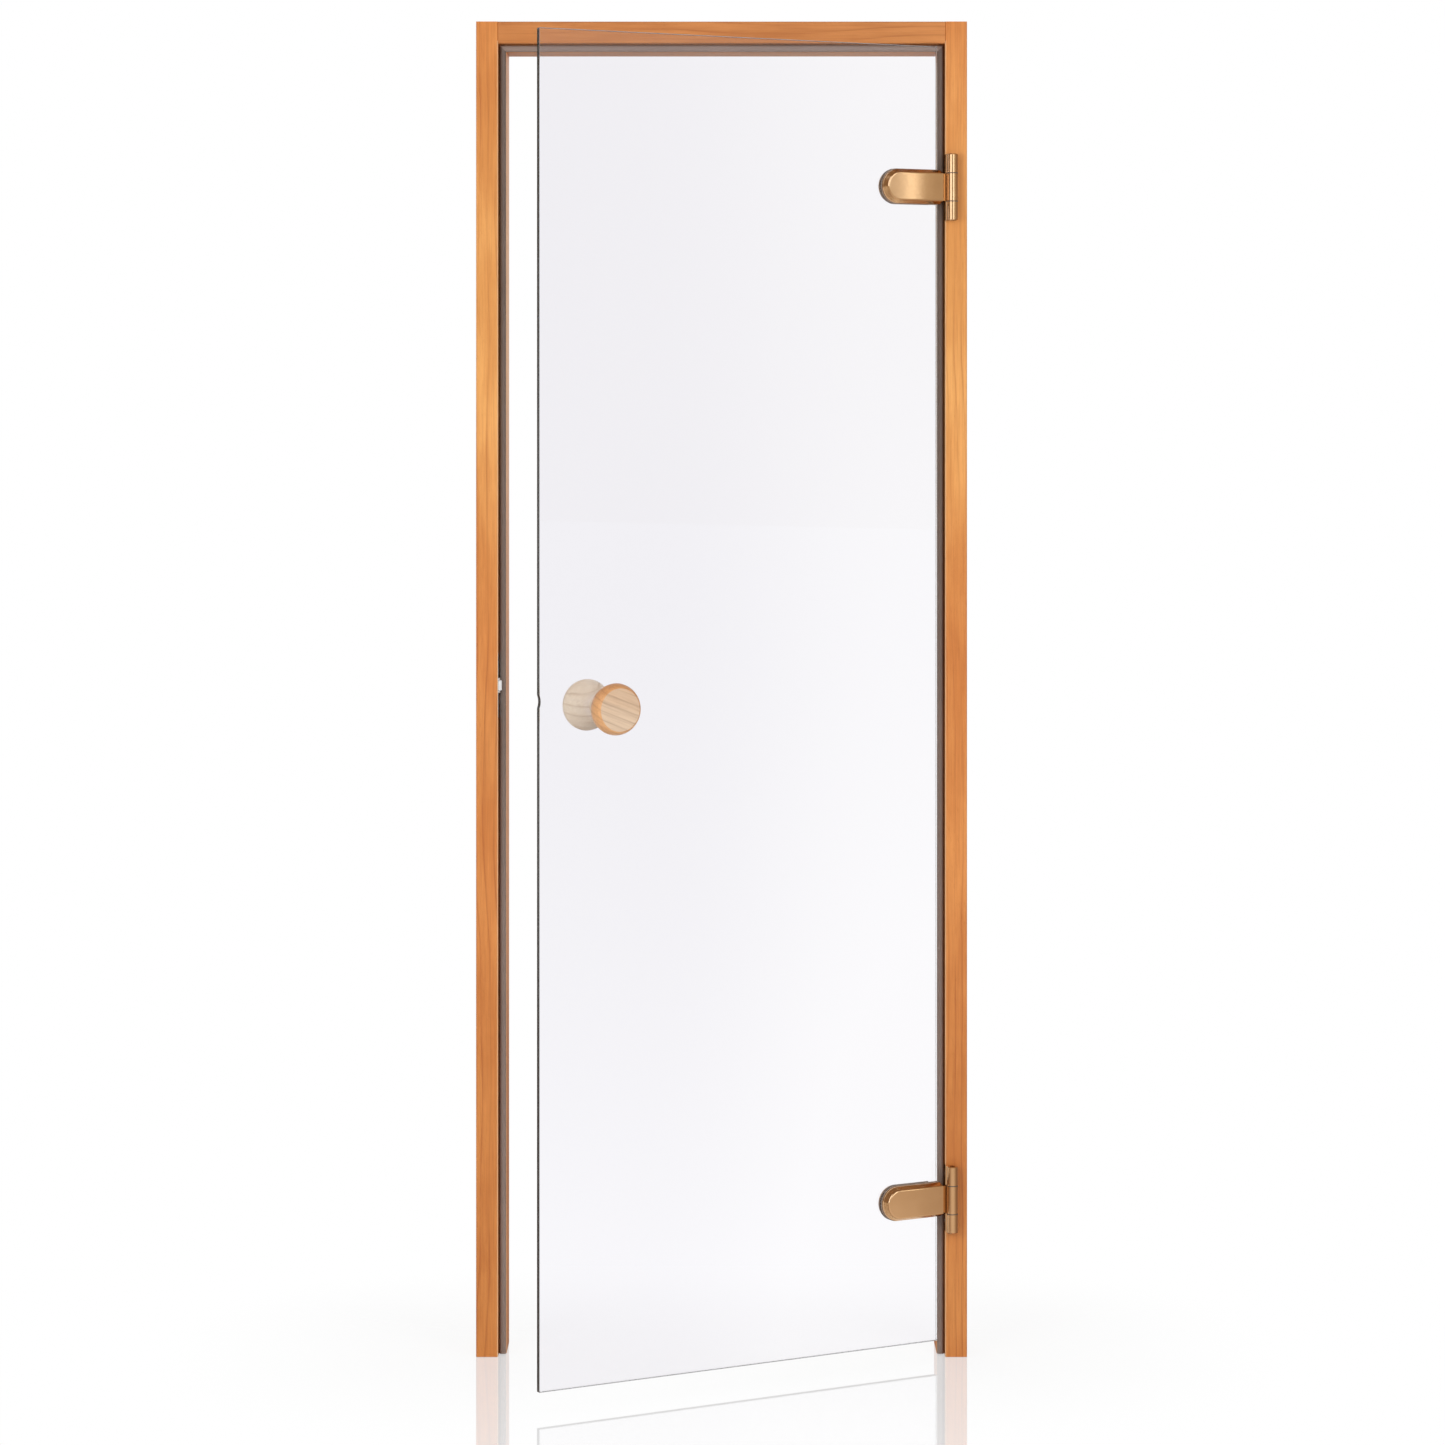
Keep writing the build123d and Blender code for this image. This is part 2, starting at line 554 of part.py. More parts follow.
def knob(side):
    """Turned knob: flared foot, waisted neck, domed back and a flat end grain face."""
    seat_y = KNOB_SEAT_BACK_Y if side > 0 else KNOB_SEAT_FRONT_Y
    foot = Line((0, 0), (KNOB_FOOT_RADIUS, 0))
    cove = TangentArc((KNOB_NECK_RADIUS, KNOB_NECK_AT), (KNOB_FOOT_RADIUS, 0), tangent=(0, -1))
    dome = ThreePointArc(
        (KNOB_NECK_RADIUS, KNOB_NECK_AT),
        (KNOB_SHOULDER_RADIUS, KNOB_SHOULDER_AT),
        (KNOB_RADIUS, KNOB_WIDEST),
    )
    band_end = KNOB_LENGTH - KNOB_FACE_EDGE
    band = TangentArc((KNOB_RADIUS, KNOB_WIDEST), (KNOB_FACE_RADIUS, band_end), tangent=(0, 1))
    rim = TangentArc(
        (KNOB_FACE_RADIUS, band_end), (KNOB_FACE_RADIUS - KNOB_FACE_EDGE, KNOB_LENGTH), tangent=band % 1
    )
    end = Line((KNOB_FACE_RADIUS - KNOB_FACE_EDGE, KNOB_LENGTH), (0, KNOB_LENGTH))
    axis_line = Line((0, KNOB_LENGTH), (0, 0))
    outline = make_face([foot, cove, dome, band, rim, end, axis_line])
    turned = revolve(outline, Axis.Y)
    bore_depth = KNOB_BOLT_GRIP + SCREW_END_CLEARANCE
    turned -= rod(KNOB_BOLT_RADIUS + SCREW_CLEARANCE, (0, 0, 0), (0, 1, 0), bore_depth)
    if side < 0:
        turned = Rot(180, 0, 0) * turned
    return swung(Pos(KNOB_X, seat_y, KNOB_HEIGHT) * turned)


def knob_bolt():
    """Threaded rod that draws both knobs against the glass."""
    start_y = KNOB_SEAT_FRONT_Y - KNOB_BOLT_GRIP
    length = KNOB_SEAT_BACK_Y + KNOB_BOLT_GRIP - start_y
    return swung(rod(KNOB_BOLT_RADIUS, (KNOB_X, start_y, KNOB_HEIGHT), (0, 1, 0), length))


def knob_washers():
    """Soft washers under both knobs, each with a short collar in the glass's hole."""
    washers = []
    for start_y, direction in ((KNOB_SEAT_FRONT_Y, 1), (KNOB_SEAT_BACK_Y, -1)):
        start = (KNOB_X, start_y, KNOB_HEIGHT)
        collar_length = KNOB_WASHER_THICKNESS + GLASS_THICKNESS / 2 - COLLAR_CLEARANCE
        washer = rod(KNOB_WASHER_RADIUS, start, (0, direction, 0), KNOB_WASHER_THICKNESS)
        washer += rod(KNOB_HOLE_RADIUS - COLLAR_CLEARANCE, start, (0, direction, 0), collar_length)
        washer -= rod(KNOB_BOLT_RADIUS + SCREW_CLEARANCE, start, (0, direction, 0), collar_length)
        washers.append(swung(washer))
    return Compound(children=washers)


def latch_plate_blank(clearance):
    """Round-ended face plate, or the recess for it, let in flush with the rebate's side."""
    half = LATCH_PLATE_WIDTH / 2 + clearance
    straight = LATCH_PLATE_LENGTH - LATCH_PLATE_WIDTH
    back_x = LATCH_REBATE_X - LATCH_PLATE_THICKNESS
    plate = block(back_x, LATCH_REBATE_X, LATCH_Y - half, LATCH_Y + half, -straight / 2, straight / 2)
    for side in (-1, 1):
        plate += rod(half, (back_x, LATCH_Y, side * straight / 2), (1, 0, 0), LATCH_PLATE_THICKNESS)
    return Pos(0, 0, LATCH_HEIGHT) * plate


def latch_case_blank(clearance):
    """Outside of the box behind the face plate, or the pocket for it."""
    half_y = LATCH_CASE_WIDTH / 2 + clearance
    half_z = LATCH_CASE_HEIGHT / 2 + clearance
    back_x = LATCH_REBATE_X - LATCH_CASE_DEPTH - clearance
    case = block(back_x, LATCH_REBATE_X, LATCH_Y - half_y, LATCH_Y + half_y, -half_z, half_z)
    return Pos(0, 0, LATCH_HEIGHT) * case


def latch_screw_starts():
    """Points on the face plate where its two screws' heads lie flush."""
    heights = (LATCH_HEIGHT + side * LATCH_PLATE_SCREW_SPACING / 2 for side in (-1, 1))
    return [(LATCH_REBATE_X, LATCH_Y, z) for z in heights]


def latch_screw_holes():
    """Pilot holes for the face plate's screws."""
    radius = WOOD_SCREW_RADIUS + SCREW_CLEARANCE
    depth = WOOD_SCREW_LENGTH + SCREW_END_CLEARANCE
    return [rod(radius, start, (-1, 0, 0), depth) for start in latch_screw_starts()]


def latch_plate():
    """Face plate and case in one piece, open in front for the roller's slider."""
    plate = latch_plate_blank(0) + latch_case_blank(0)
    half_y = LATCH_CASE_WIDTH / 2 - LATCH_CASE_WALL
    half_z = LATCH_CASE_HEIGHT / 2 - LATCH_CASE_WALL
    back_x = LATCH_REBATE_X - LATCH_CASE_DEPTH + LATCH_CASE_WALL
    hollow = block(back_x, LATCH_REBATE_X, LATCH_Y - half_y, LATCH_Y + half_y, -half_z, half_z)
    plate -= Pos(0, 0, LATCH_HEIGHT) * hollow
    for start in latch_screw_starts():
        plate -= rod(WOOD_SCREW_RADIUS + SCREW_CLEARANCE, start, (-1, 0, 0), LATCH_PLATE_THICKNESS)
        plate -= countersink(WOOD_SCREW_RADIUS, WOOD_SCREW_HEAD_RADIUS + SCREW_CLEARANCE, start, (-1, 0, 0))
    return plate


def latch_plate_screws():
    """Countersunk wood screws of the face plate."""
    return Compound(children=[wood_screw(start, (-1, 0, 0)) for start in latch_screw_starts()])


def latch_slider():
    """Fork that carries the roller and slides into the case against a spring."""
    half_y = LATCH_CASE_WIDTH / 2 - LATCH_CASE_WALL - SLIDER_CLEARANCE
    half_z = LATCH_CASE_HEIGHT / 2 - LATCH_CASE_WALL - SLIDER_CLEARANCE
    nose = ROLLER_PIN_RADIUS + SLIDER_NOSE_WALL
    fork = block(ROLLER_X + nose - SLIDER_LENGTH, ROLLER_X + nose, -half_y, half_y, -half_z, half_z)
    front_edges = fork.faces().sort_by(Axis.X)[-1].edges().filter_by(Axis.Z)
    fork = fillet(front_edges, SLIDER_CORNER_RADIUS)
    slot_half = ROLLER_HEIGHT / 2 + ROLLER_END_CLEARANCE
    slot_x = ROLLER_X - ROLLER_RADIUS - ROLLER_END_CLEARANCE
    fork -= block(slot_x, ROLLER_X + nose, -half_y, half_y, -slot_half, slot_half)
    fork -= Pos(ROLLER_X, 0, 0) * Cylinder(ROLLER_PIN_RADIUS + PIN_RUNNING_FIT, 2 * half_z)
    return Pos(0, LATCH_Y, LATCH_HEIGHT) * fork


def latch_roller():
    """Nylon roller on an upright pin."""
    roller = Cylinder(ROLLER_RADIUS, ROLLER_HEIGHT)
    roller = chamfer(roller.edges().filter_by(GeomType.CIRCLE), ROLLER_CHAMFER)
    roller -= Cylinder(ROLLER_PIN_RADIUS + PIN_RUNNING_FIT, ROLLER_HEIGHT)
    return Pos(ROLLER_X, LATCH_Y, LATCH_HEIGHT) * roller


def latch_roller_pin():
    """Pin of the roller, flush with the fork's cheeks."""
    length = LATCH_CASE_HEIGHT - 2 * (LATCH_CASE_WALL + SLIDER_CLEARANCE)
    return Pos(ROLLER_X, LATCH_Y, LATCH_HEIGHT) * Cylinder(ROLLER_PIN_RADIUS, length)


os.makedirs("parts", exist_ok=True)

write("hinge_jamb", hinge_jamb())
write("latch_jamb", latch_jamb())
write("head_rail", head_rail())
write("hinge_jamb_seal", jamb_seal(hinge_side=True))
write("latch_jamb_seal", jamb_seal(hinge_side=False))
write("head_seal", head_seal())

write("latch_plate", latch_plate())
write("latch_plate_screws", latch_plate_screws())
write("latch_slider", latch_slider())
write("latch_roller", latch_roller())
write("latch_roller_pin", latch_roller_pin())

write("glass_pane", glass_pane())
write("outer_knob", knob(side=-1))
write("inner_knob", knob(side=1))
write("knob_bolt", knob_bolt())
write("knob_washers", knob_washers())

for place, height in HINGE_HEIGHTS.items():
    write(f"{place}_hinge_leaf", hinge_leaf(height))
    write(f"{place}_hinge_leaf_screws", leaf_screws(height))
    write(f"{place}_hinge_pin", hinge_pin(height))
    write(f"{place}_hinge_washers", knuckle_washers(height))
    write(f"{place}_hinge_arm", hinge_arm(height))
    write(f"{place}_hinge_cover", hinge_cover(height))
    write(f"{place}_hinge_outer_pad", outer_pad(height))
    write(f"{place}_hinge_inner_pad", inner_pad(height))
    write(f"{place}_hinge_back_plate", hinge_back_plate(height))
    write(f"{place}_hinge_clamp_screws", clamp_screws(height))
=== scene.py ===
import json
import math

import bmesh
import bpy
from mathutils import Matrix, Vector


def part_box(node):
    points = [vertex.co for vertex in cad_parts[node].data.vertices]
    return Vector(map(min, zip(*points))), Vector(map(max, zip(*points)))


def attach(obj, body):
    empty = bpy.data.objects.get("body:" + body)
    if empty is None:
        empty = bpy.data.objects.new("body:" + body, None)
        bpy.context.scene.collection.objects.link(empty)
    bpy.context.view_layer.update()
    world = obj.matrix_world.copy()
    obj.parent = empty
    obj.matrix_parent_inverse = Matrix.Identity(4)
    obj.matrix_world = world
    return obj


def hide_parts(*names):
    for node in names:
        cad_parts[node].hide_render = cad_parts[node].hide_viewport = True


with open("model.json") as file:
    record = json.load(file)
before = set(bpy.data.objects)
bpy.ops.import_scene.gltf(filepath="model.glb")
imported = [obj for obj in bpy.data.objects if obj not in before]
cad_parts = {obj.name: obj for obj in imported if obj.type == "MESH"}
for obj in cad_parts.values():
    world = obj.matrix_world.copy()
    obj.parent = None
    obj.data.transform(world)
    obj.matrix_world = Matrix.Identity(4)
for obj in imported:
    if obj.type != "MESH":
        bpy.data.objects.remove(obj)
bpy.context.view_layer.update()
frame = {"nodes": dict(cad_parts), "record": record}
nodes = frame["nodes"]

# The frame: two uprights and a head of solid alder, planed, rebated, eased along every edge
# and oiled. The growth rings run along each member and end as arcs on the uprights' tops.
ALDER = ((0.86, 0.42, 0.126, 1), (0.71, 0.305, 0.08, 1), (0.42, 0.12, 0.026, 1))
HEAD_ALDER = ((0.72, 0.345, 0.112, 1), (0.595, 0.265, 0.08, 1), (0.4, 0.13, 0.032, 1))
ALDER_FIGURE = 0.65
OILED_COAT = 0.1
WHITE = (1, 1, 1, 1)
# Painted light: the boards are painted palest at one height as a sheen, and redder and darker above and
# below it.
REDDER_AWAY_FROM_SHEEN = (0.86, 0.68, 0.6, 1)
DARKER_FOOT = (0.93, 0.91, 0.84, 1)
# A pale highlight painted along the rounded arrises beside the doorway, and how strong it is.
ARRIS_HIGHLIGHT_COLOUR = (1.0, 0.66, 0.36, 1)
ARRIS_HIGHLIGHT_STRENGTH = 0.8
PAINTED_SHEEN_HEIGHT = 1.46
FRAME_MIDDLE = -0.3475
DOORWAY_HALF_WIDTH = 0.319
DOORWAY_HEIGHT = 1.863


def put(tree, kind, props=None, **sockets):
    """Adds a shader node; a socket is given by its name, or by i and its number."""
    made = tree.nodes.new(kind)
    for name, value in (props or {}).items():
        setattr(made, name, value)
    for name, value in sockets.items():
        numbered = name[0] == "i" and name[1:].isdigit()
        socket = made.inputs[int(name[1:]) if numbered else name.replace("_", " ")]
        if isinstance(value, bpy.types.NodeSocket):
            tree.links.new(value, socket)
        else:
            socket.default_value = value
    return made


def maths(tree, operation, first, second=0.0, clamp=False):
    """One sum of two numbers, as a socket."""
    props = {"operation": operation, "use_clamp": clamp}
    return put(tree, "ShaderNodeMath", props, i0=first, i1=second).outputs[0]


def vector_maths(tree, operation, first, second=(0, 0, 0)):
    """One sum of two vectors, as a socket; DOT_PRODUCT and LENGTH give a number."""
    made = put(tree, "ShaderNodeVectorMath", {"operation": operation}, i0=first, i1=second)
    return made.outputs["Value" if operation in ("DOT_PRODUCT", "LENGTH") else "Vector"]


def along_axis(tree, vector, axis):
    """A vector's X, Y or Z, as a socket."""
    return put(tree, "ShaderNodeSeparateXYZ", Vector=vector).outputs[axis]


def blend_colour(tree, factor, first, second, kind="MIX"):
    """A mix of two colours, as a socket."""
    made = put(tree, "ShaderNodeMix", {"data_type": "RGBA", "blend_type": kind})
    for place, value in ((0, factor), (6, first), (7, second)):
        if isinstance(value, bpy.types.NodeSocket):
            tree.links.new(value, made.inputs[place])
        else:
            made.inputs[place].default_value = value
    return made.outputs[2]


def stepped(tree, value, low, high, out_low=0.0, out_high=1.0):
    """A value brought from one range to another with soft ends, as a socket."""
    props = {"interpolation_type": "SMOOTHSTEP"}
    made = put(tree, "ShaderNodeMapRange", props, i0=value, i1=low, i2=high, i3=out_low, i4=out_high)
    return made.outputs[0]


def noise(tree, vector, stretch, scale, detail=2.0, roughness=0.5):
    """Noise stretched along an axis, as a socket."""
    stretched = vector_maths(tree, "MULTIPLY", vector, stretch)
    texture = put(
        tree, "ShaderNodeTexNoise", Vector=stretched, Scale=scale, Detail=detail, Roughness=roughness
    )
    return texture.outputs[0]


def new_group(name, inputs, outputs):
    """An empty node group with its sockets, its input node and its output node."""
    tree = bpy.data.node_groups.new(name, "ShaderNodeTree")
    for label, kind in inputs:
        tree.interface.new_socket(name=label, in_out="INPUT", socket_type=kind)
    for label, kind in outputs:
        tree.interface.new_socket(name=label, in_out="OUTPUT", socket_type=kind)
    return tree, tree.nodes.new("NodeGroupInput"), tree.nodes.new("NodeGroupOutput")


def timber_group():
    """Wood with its grain along Z and its pith on the Z axis: rings, fibres, pores and clouds."""
    tree, given, result = new_group(
        "timber",
        [
            ("Vector", "NodeSocketVector"),
            ("Light", "NodeSocketColor"),
            ("Mid", "NodeSocketColor"),
            ("Dark", "NodeSocketColor"),
            ("Ring", "NodeSocketFloat"),
            ("Figure", "NodeSocketFloat"),
        ],
        [("Color", "NodeSocketColor"), ("Roughness", "NodeSocketFloat"), ("Height", "NodeSocketFloat")],
    )
    vector = given.outputs["Vector"]
    light, mid, dark = (given.outputs[label] for label in ("Light", "Mid", "Dark"))
    sway = maths(tree, "SUBTRACT", noise(tree, vector, (1, 1, 0.28), 5.0, 2.0), 0.5)
    waver = maths(tree, "SUBTRACT", noise(tree, vector, (1, 1, 0.16), 60.0, 2.0), 0.5)
    radius = vector_maths(tree, "LENGTH", vector_maths(tree, "MULTIPLY", vector, (1, 1, 0)))
    radius = maths(tree, "ADD", radius, maths(tree, "MULTIPLY", sway, 0.05))
    radius = maths(tree, "ADD", radius, maths(tree, "MULTIPLY", waver, 0.0022))
    through_ring = maths(tree, "FRACT", maths(tree, "DIVIDE", radius, given.outputs["Ring"]))
    late = maths(tree, "POWER", through_ring, 9.0)
    early = maths(tree, "POWER", maths(tree, "SUBTRACT", 1.0, through_ring), 20.0)
    ring = maths(tree, "ADD", late, early, clamp=True)
    strength = stepped(tree, noise(tree, vector, (1, 1, 0.2), 22.0, 1.0), 0.35, 0.7, 0.15, 1.0)
    ring = maths(tree, "MULTIPLY", maths(tree, "MULTIPLY", ring, strength), given.outputs["Figure"])
    fibre = noise(tree, vector, (1, 1, 0.03), 420.0, 4.0, 0.6)
    pores = stepped(tree, noise(tree, vector, (1, 1, 0.05), 1500.0, 1.0), 0.62, 0.74)
    cloud = noise(tree, vector, (1, 1, 0.3), 15.0, 3.0, 0.6)
    colour = blend_colour(tree, stepped(tree, cloud, 0.32, 0.68), light, mid)
    colour = blend_colour(tree, stepped(tree, fibre, 0.35, 0.75, 0.0, 0.3), colour, dark)
    colour = blend_colour(tree, ring, colour, dark)
    colour = blend_colour(tree, maths(tree, "MULTIPLY", pores, 0.16), colour, dark)
    sheen = maths(tree, "ADD", maths(tree, "MULTIPLY", fibre, 0.16), 0.36)
    raised, sunk = maths(tree, "MULTIPLY", fibre, 0.5), maths(tree, "MULTIPLY", pores, 0.5)
    tree.links.new(colour, result.inputs["Color"])
    tree.links.new(sheen, result.inputs["Roughness"])
    tree.links.new(maths(tree, "SUBTRACT", raised, sunk), result.inputs["Height"])
    return tree


def new_material(name):
    """A material with its node tree and its Principled BSDF."""
    material = bpy.data.materials.new(name)
    material.use_nodes = True
    tree = material.node_tree
    return material, tree, tree.nodes["Principled BSDF"]


def bumped(tree, shader, height, distance):
    """Feeds a height to the shader's normal; the distance is its real depth in metres."""
    bump = put(tree, "ShaderNodeBump", Strength=1.0, Distance=distance, Height=height)
    tree.links.new(bump.outputs[0], shader.inputs["Normal"])


timber = timber_group()


def timber_material(name, location, turn, colours, ring, figure, coat):
    """Oiled wood; the location and turn bring the board's grain on to the pattern's Z axis."""
    material, tree, shader = new_material(name)
    place = put(tree, "ShaderNodeTexCoord").outputs["Object"]
    mapped = put(tree, "ShaderNodeMapping", Vector=place, Location=location, Rotation=turn)
    light, mid, dark = colours
    wood = put(
        tree,
        "ShaderNodeGroup",
        {"node_tree": timber},
        Vector=mapped.outputs[0],
        Light=light,
        Mid=mid,
        Dark=dark,
        Ring=ring,
        Figure=figure,
    )
    tree.links.new(wood.outputs["Color"], shader.inputs["Base Color"])
    tree.links.new(wood.outputs["Roughness"], shader.inputs["Roughness"])
    bumped(tree, shader, wood.outputs["Height"], 0.0002)
    shader.inputs["Specular IOR Level"].default_value = 0.35
    shader.inputs["Coat Weight"].default_value = coat
    shader.inputs["Coat Roughness"].default_value = 0.28
    return material, tree, shader, wood.outputs["Color"]


def board_material(name, location, turn, colours, ring, highlight_strength):
    """A planed board: painted palest some way up as a sheen, redder and darker away from it, darker
    towards the foot, and painted with a pale highlight along the doorway's arris.
    """
    material, tree, shader, wood = timber_material(
        name, location, turn, colours, ring, ALDER_FIGURE, OILED_COAT
    )
    place = put(tree, "ShaderNodeTexCoord")
    height = along_axis(tree, place.outputs["Object"], "Z")
    # Painted sheen: palest at one height, redder and darker away from it.
    from_painted_sheen = maths(tree, "ABSOLUTE", maths(tree, "SUBTRACT", height, PAINTED_SHEEN_HEIGHT))
    tone = blend_colour(tree, stepped(tree, from_painted_sheen, 0.02, 0.52), WHITE, REDDER_AWAY_FROM_SHEEN)
    wood = blend_colour(tree, 1.0, wood, tone, "MULTIPLY")
    tone = blend_colour(tree, stepped(tree, height, 0.3, 0.75), DARKER_FOOT, WHITE)
    wood = blend_colour(tree, 1.0, wood, tone, "MULTIPLY")
    sides = put(
        tree, "ShaderNodeSeparateXYZ", Vector=vector_maths(tree, "ABSOLUTE", place.outputs["Normal"])
    )
    flat = maths(tree, "MAXIMUM", sides.outputs["Y"], sides.outputs["Z"])
    flat = maths(tree, "MAXIMUM", sides.outputs["X"], flat)
    across = maths(tree, "ADD", along_axis(tree, place.outputs["Object"], "X"), -FRAME_MIDDLE)
    beside = maths(tree, "LESS_THAN", maths(tree, "ABSOLUTE", across), DOORWAY_HALF_WIDTH)
    beside = maths(tree, "MULTIPLY", beside, maths(tree, "LESS_THAN", height, DOORWAY_HEIGHT))
    # A highlight painted pale on the rounded arrises beside the doorway, where the normal leans between
    # two faces.
    painted_arris_highlight = maths(tree, "MULTIPLY", stepped(tree, flat, 0.8, 0.99, highlight_strength, 0.0), beside)
    wood = blend_colour(tree, painted_arris_highlight, wood, ARRIS_HIGHLIGHT_COLOUR)
    tree.links.new(wood, shader.inputs["Base Color"])
    return material


def dress(material, *names):
    """Gives CAD nodes their finished material."""
    for name in names:
        slots = nodes[name].material_slots
        if len(slots):
            slots[0].material = material
        else:
            nodes[name].data.materials.append(material)


upright, along_x = (0, 0, 0), (0, -math.pi / 2, 0)
for name, location, turn, colours, ring, highlight_strength in (
    ("hinge_jamb", (0.16, 0.13, 0.3), upright, ALDER, 0.0085, ARRIS_HIGHLIGHT_STRENGTH),
    ("latch_jamb", (0.55, 0.17, 1.9), upright, ALDER, 0.0095, ARRIS_HIGHLIGHT_STRENGTH),
    ("head_rail", (1.98, 0.15, 4.1), along_x, HEAD_ALDER, 0.009, 0.0),
):
    dress(board_material(f"alder_{name}", location, turn, colours, ring, highlight_strength), name)

# The seals: a grey-brown silicone bulb on a barbed root, pushed into a saw kerf in the stop of
# every member and mitred at the two upper corners. Towards the floor it is painted paler, as light.
SILICONE = (0.11, 0.076, 0.056, 1)
PAINTED_LIGHT_SILICONE = (0.27, 0.2, 0.165, 1)


def seal_material(name, light_at_foot, light_at_head):
    """Silicone with a drifting tone and an uneven skin, painted paler at foot and head as much as
    given, as light.
    """
    material, tree, shader = new_material(name)
    place = put(tree, "ShaderNodeTexCoord").outputs["Object"]
    drift = maths(tree, "MULTIPLY", noise(tree, place, (1, 1, 1), 9.0, 3.0), 0.45)
    height = along_axis(tree, place, "Z")
    painted_light_and_drift = stepped(tree, height, 0.2, 1.5, light_at_foot, light_at_head)
    painted_light_and_drift = maths(tree, "ADD", painted_light_and_drift, drift, clamp=True)
    skin = noise(tree, place, (1, 1, 1), 900.0, 2.0)
    shade = blend_colour(tree, painted_light_and_drift, SILICONE, PAINTED_LIGHT_SILICONE)
    tree.links.new(shade, shader.inputs["Base Color"])
    tree.links.new(stepped(tree, skin, 0.3, 0.7, 0.34, 0.46), shader.inputs["Roughness"])
    bumped(tree, shader, skin, 0.00005)
    return material


dress(seal_material("silicone_jamb_seal", 0.65, 0.0), "hinge_jamb_seal", "latch_jamb_seal")
# The head's seal is painted paler all along, as light thrown up from the floor.
dress(seal_material("silicone_head_seal", 0.7, 0.7), "head_seal")

# The pane: 8 mm toughened clear glass with a trace of lavender, its edges ground and polished,
# pale and with a dark line of shade painted along their front arris. It stands ajar, turned
# about the hinges' upright axis by the angle that the swing's lower limit takes back. Light
# passes it without a hard shadow.
PANE_FRONT = -0.0165
LAVENDER = (0.87, 0.86, 0.905, 1)
PALE_DRIFT_AND_GLOW = (0.985, 0.98, 1.0, 1)
PAINTED_EDGE_SHADE = (0.2, 0.205, 0.21, 1)
GROUND_PALE = (0.86, 0.87, 0.88, 1)
SHADOW_TINT = (0.985, 0.985, 0.99, 1)
swing = next(j for j in frame["record"]["behaviour"]["joints"] if j["name"] == "door_swing")
hinge_axis = Vector(swing["pos_m"])
open_angle = -math.radians(swing["range_deg"][0])
leaf_across = Vector((math.cos(open_angle), math.sin(open_angle), 0))
leaf_outward = Vector((math.sin(open_angle), -math.cos(open_angle), 0))
glass, tree, shader = new_material("clear_glass")
coordinates = put(tree, "ShaderNodeTexCoord")
place = coordinates.outputs["Object"]
facing = vector_maths(tree, "DOT_PRODUCT", coordinates.outputs["Normal"], leaf_outward)
edge = stepped(tree, maths(tree, "ABSOLUTE", facing), 0.8, 0.95, 1.0, 0.0)
from_axis = vector_maths(tree, "SUBTRACT", place, hinge_axis)
depth = vector_maths(tree, "DOT_PRODUCT", from_axis, leaf_outward)
depth = maths(tree, "SUBTRACT", PANE_FRONT, depth)
# A dark line of shade painted along the front arris of the ground edges.
edge_with_painted_shade = blend_colour(tree, stepped(tree, depth, 0.001, 0.003), PAINTED_EDGE_SHADE, GROUND_PALE)
height = along_axis(tree, place, "Z")
across = vector_maths(tree, "DOT_PRODUCT", from_axis, leaf_across)
# The tint drifts paler at random, and is painted paler towards the floor and towards the hinges as a
# glow of light.
drift_and_painted_glow = maths(tree, "MULTIPLY", noise(tree, place, (1, 1, 0.6), 1.6, 1.0), 0.4)
drift_and_painted_glow = maths(tree, "ADD", drift_and_painted_glow, stepped(tree, height, 0.0, 1.1, 0.5, 0.0))
drift_and_painted_glow = maths(tree, "ADD", drift_and_painted_glow, stepped(tree, across, -0.5, -0.05, 0.0, 0.6), clamp=True)
body = blend_colour(tree, drift_and_painted_glow, LAVENDER, PALE_DRIFT_AND_GLOW)
tree.links.new(blend_colour(tree, edge, body, edge_with_painted_shade), shader.inputs["Base Color"])
tree.links.new(maths(tree, "MULTIPLY", edge, 0.2), shader.inputs["Roughness"])
shader.inputs["IOR"].default_value = 1.5
shader.inputs["Transmission Weight"].default_value = 1.0
shader.inputs["Metallic"].default_value = 0.0
clear = put(tree, "ShaderNodeBsdfTransparent", Color=SHADOW_TINT)
shadow = put(tree, "ShaderNodeLightPath").outputs["Is Shadow Ray"]
mixed = put(tree, "ShaderNodeMixShader", Fac=shadow, i1=shader.outputs[0], i2=clear.outputs[0])
tree.links.new(mixed.outputs[0], tree.nodes["Material Output"].inputs["Surface"])
dress(glass, "glass_pane")

# The hinges: cast knuckles, a cranked arm, a pressed cover and a clamp plate in satin bronze.
# The leaf is let into the jamb; rubber pads keep the metal off the glass, countersunk screws
# hold each leaf to the jamb and clamp each arm and its back plate through the glass.
BRONZE = (0.58, 0.335, 0.15, 1)
WARM_BRONZE = (0.63, 0.375, 0.175, 1)


